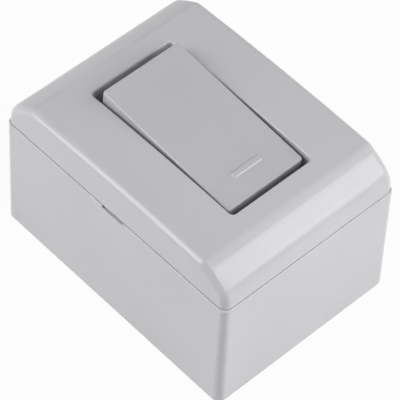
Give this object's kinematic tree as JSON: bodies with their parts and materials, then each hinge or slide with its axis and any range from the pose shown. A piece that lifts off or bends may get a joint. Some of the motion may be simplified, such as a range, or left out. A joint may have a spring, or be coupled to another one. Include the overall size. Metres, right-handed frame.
{
  "type": "surface mounted rocker light switch",
  "caption": "Surface mounted light switch: deep box for the wall, clip-on arched cover and a tilting rocker over a single-pole contact mechanism.",
  "frame": {"origin": "centre of the back face, which lies on the wall", "axes": "+Z out of the wall towards the rocker's face, +Y up the wall, +X to the right facing the switch"},
  "size_m": [0.0546, 0.0756, 0.0479],
  "materials": {
    "case_plastic": "light grey moulded plastic, satin gloss",
    "rocker_plastic": "light grey moulded plastic, satin gloss",
    "mechanism_plastic": "off-white moulded insulating plastic",
    "plunger_plastic": "dark low-friction plastic",
    "spring_steel": "drawn spring wire",
    "zinc_steel": "zinc-plated steel",
    "brass": "stamped brass",
    "copper": "rolled copper alloy",
    "silver": "silver contact facing"
  },
  "bodies": {
    "box": {"base_box": "case_plastic", "front_cover": "case_plastic", "pivot_frame": "mechanism_plastic", "yoke_plate": "zinc_steel", "yoke_screw_upper": "zinc_steel", "yoke_screw_lower": "zinc_steel", "switch_body": "mechanism_plastic", "line_terminal": "brass", "load_terminal": "brass", "fixed_contact": "silver", "line_clamp_plate": "zinc_steel", "load_clamp_plate": "zinc_steel", "line_terminal_screw": "zinc_steel", "load_terminal_screw": "zinc_steel"},
    "rocker": {"rocker_cap": "rocker_plastic", "rocker_carrier": "mechanism_plastic", "contact_spring": "spring_steel"},
    "plunger": {"spring_plunger": "plunger_plastic"},
    "blade": {"contact_blade": "copper", "moving_contact": "silver"}
  },
  "joints": [
    {"name": "rocker_tilt", "type": "hinge", "parent": "box", "child": "rocker", "pos_m": [0, 0, 0.0396], "axis": [1, 0, 0], "range_deg": [-10.3, 0]},
    {"name": "plunger_travel", "type": "slide", "parent": "rocker", "child": "plunger", "axis": [0, -0.0898, 0.996], "range_m": [0, 0.001], "stiffness_N_per_m": 300, "springref_m": -0.003, "deforming": ["contact_spring"]},
    {"name": "blade_rock", "type": "hinge", "parent": "box", "child": "blade", "pos_m": [0, 0, 0.0261], "axis": [1, 0, 0], "range_deg": [0, 14]}
  ],
  "couplings": [
    {"joint": "blade_rock", "follows": "rocker_tilt", "ratio": -1.3592}
  ]
}
